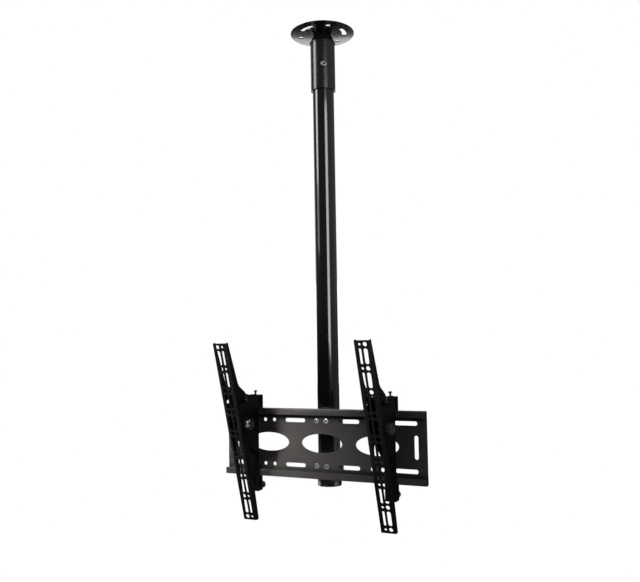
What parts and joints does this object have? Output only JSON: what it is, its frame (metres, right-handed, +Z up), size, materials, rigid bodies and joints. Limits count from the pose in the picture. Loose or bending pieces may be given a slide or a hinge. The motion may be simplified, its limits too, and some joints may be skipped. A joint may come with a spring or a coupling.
{
  "type": "ceiling tv mount",
  "caption": "Black ceiling mount for a flat screen: round ceiling plate, drop pole, slotted plate and tilting channel arms that hook over its rails.",
  "frame": {"origin": "middle of the ceiling plate's top face, which lies against the ceiling", "axes": "+Z up along the pole, -Y towards the screen, +X to the right of someone facing the screen"},
  "size_m": [0.492, 0.267, 1.1284],
  "materials": {
    "satin_black": "satin powder coat",
    "gloss_black": "gloss powder coat",
    "bright_screw": "dull zinc",
    "dark_screw": "black oxide",
    "knob_plastic": "moulded, fine grain",
    "cap_plastic": "moulded, smooth",
    "washer_plastic": "plain nylon"
  },
  "bodies": {
    "pole": {"ceiling_plate": "gloss_black", "ceiling_neck": "gloss_black", "ceiling_collar": "gloss_black", "collar_set_screws": "dark_screw", "safety_bolt": "bright_screw", "safety_nut": "bright_screw", "pole": "gloss_black", "pole_end_cap": "cap_plastic"},
    "support_ring": {"support_ring": "satin_black", "support_ring_screw": "dark_screw"},
    "bracket": {"upper_pole_collar": "satin_black", "lower_pole_collar": "satin_black", "pole_collar_set_screws": "dark_screw", "screen_plate": "satin_black", "plate_screws": "dark_screw"},
    "left_hanger": {"left_hanger": "satin_black", "left_pivot_bolt": "dark_screw", "left_tilt_washers": "washer_plastic", "left_guide_bolt": "dark_screw", "left_guide_nut": "dark_screw", "left_lock_clip": "satin_black"},
    "left_arm": {"left_arm": "satin_black"},
    "left_levelling_screw": {"left_levelling_screw": "dark_screw"},
    "left_lock_knob": {"left_lock_knob": "knob_plastic"},
    "left_tilt_knob": {"left_tilt_knob": "knob_plastic"},
    "right_hanger": {"right_hanger": "satin_black", "right_pivot_bolt": "dark_screw", "right_tilt_washers": "washer_plastic", "right_guide_bolt": "dark_screw", "right_guide_nut": "dark_screw", "right_lock_clip": "satin_black"},
    "right_arm": {"right_arm": "satin_black"},
    "right_levelling_screw": {"right_levelling_screw": "dark_screw"},
    "right_lock_knob": {"right_lock_knob": "knob_plastic"},
    "right_tilt_knob": {"right_tilt_knob": "knob_plastic"}
  },
  "joints": [
    {"name": "height_slide", "type": "slide", "parent": "pole", "child": "support_ring", "axis": [0, 0, 1], "range_m": [0, 0.6]},
    {"name": "swivel", "type": "hinge", "parent": "support_ring", "child": "bracket", "pos_m": [0, 0, -0.955], "axis": [0, 0, 1], "continuous": true},
    {"name": "left_hanger_slide", "type": "slide", "parent": "bracket", "child": "left_hanger", "axis": [1, 0, 0], "range_m": [-0.064, 0.118]},
    {"name": "left_tilt", "type": "hinge", "parent": "left_hanger", "child": "left_arm", "pos_m": [-0.168, -0.112, -0.91], "axis": [1, 0, 0], "range_deg": [-17, 2]},
    {"name": "left_levelling", "type": "slide", "parent": "left_hanger", "child": "left_levelling_screw", "axis": [0, 0, 1], "range_m": [0, 0.008]},
    {"name": "left_lock_turn", "type": "hinge", "parent": "left_hanger", "child": "left_lock_knob", "pos_m": [-0.168, -0.033, -1.058], "axis": [0, 1, 0], "continuous": true},
    {"name": "left_tilt_knob_turn", "type": "hinge", "parent": "left_hanger", "child": "left_tilt_knob", "pos_m": [-0.168, -0.112, -0.91], "axis": [1, 0, 0], "continuous": true},
    {"name": "right_hanger_slide", "type": "slide", "parent": "bracket", "child": "right_hanger", "axis": [1, 0, 0], "range_m": [-0.118, 0.064]},
    {"name": "right_tilt", "type": "hinge", "parent": "right_hanger", "child": "right_arm", "pos_m": [0.168, -0.112, -0.91], "axis": [1, 0, 0], "range_deg": [-17, 2]},
    {"name": "right_levelling", "type": "slide", "parent": "right_hanger", "child": "right_levelling_screw", "axis": [0, 0, 1], "range_m": [0, 0.008]},
    {"name": "right_lock_turn", "type": "hinge", "parent": "right_hanger", "child": "right_lock_knob", "pos_m": [0.168, -0.033, -1.058], "axis": [0, 1, 0], "continuous": true},
    {"name": "right_tilt_knob_turn", "type": "hinge", "parent": "right_hanger", "child": "right_tilt_knob", "pos_m": [0.168, -0.112, -0.91], "axis": [1, 0, 0], "continuous": true}
  ]
}
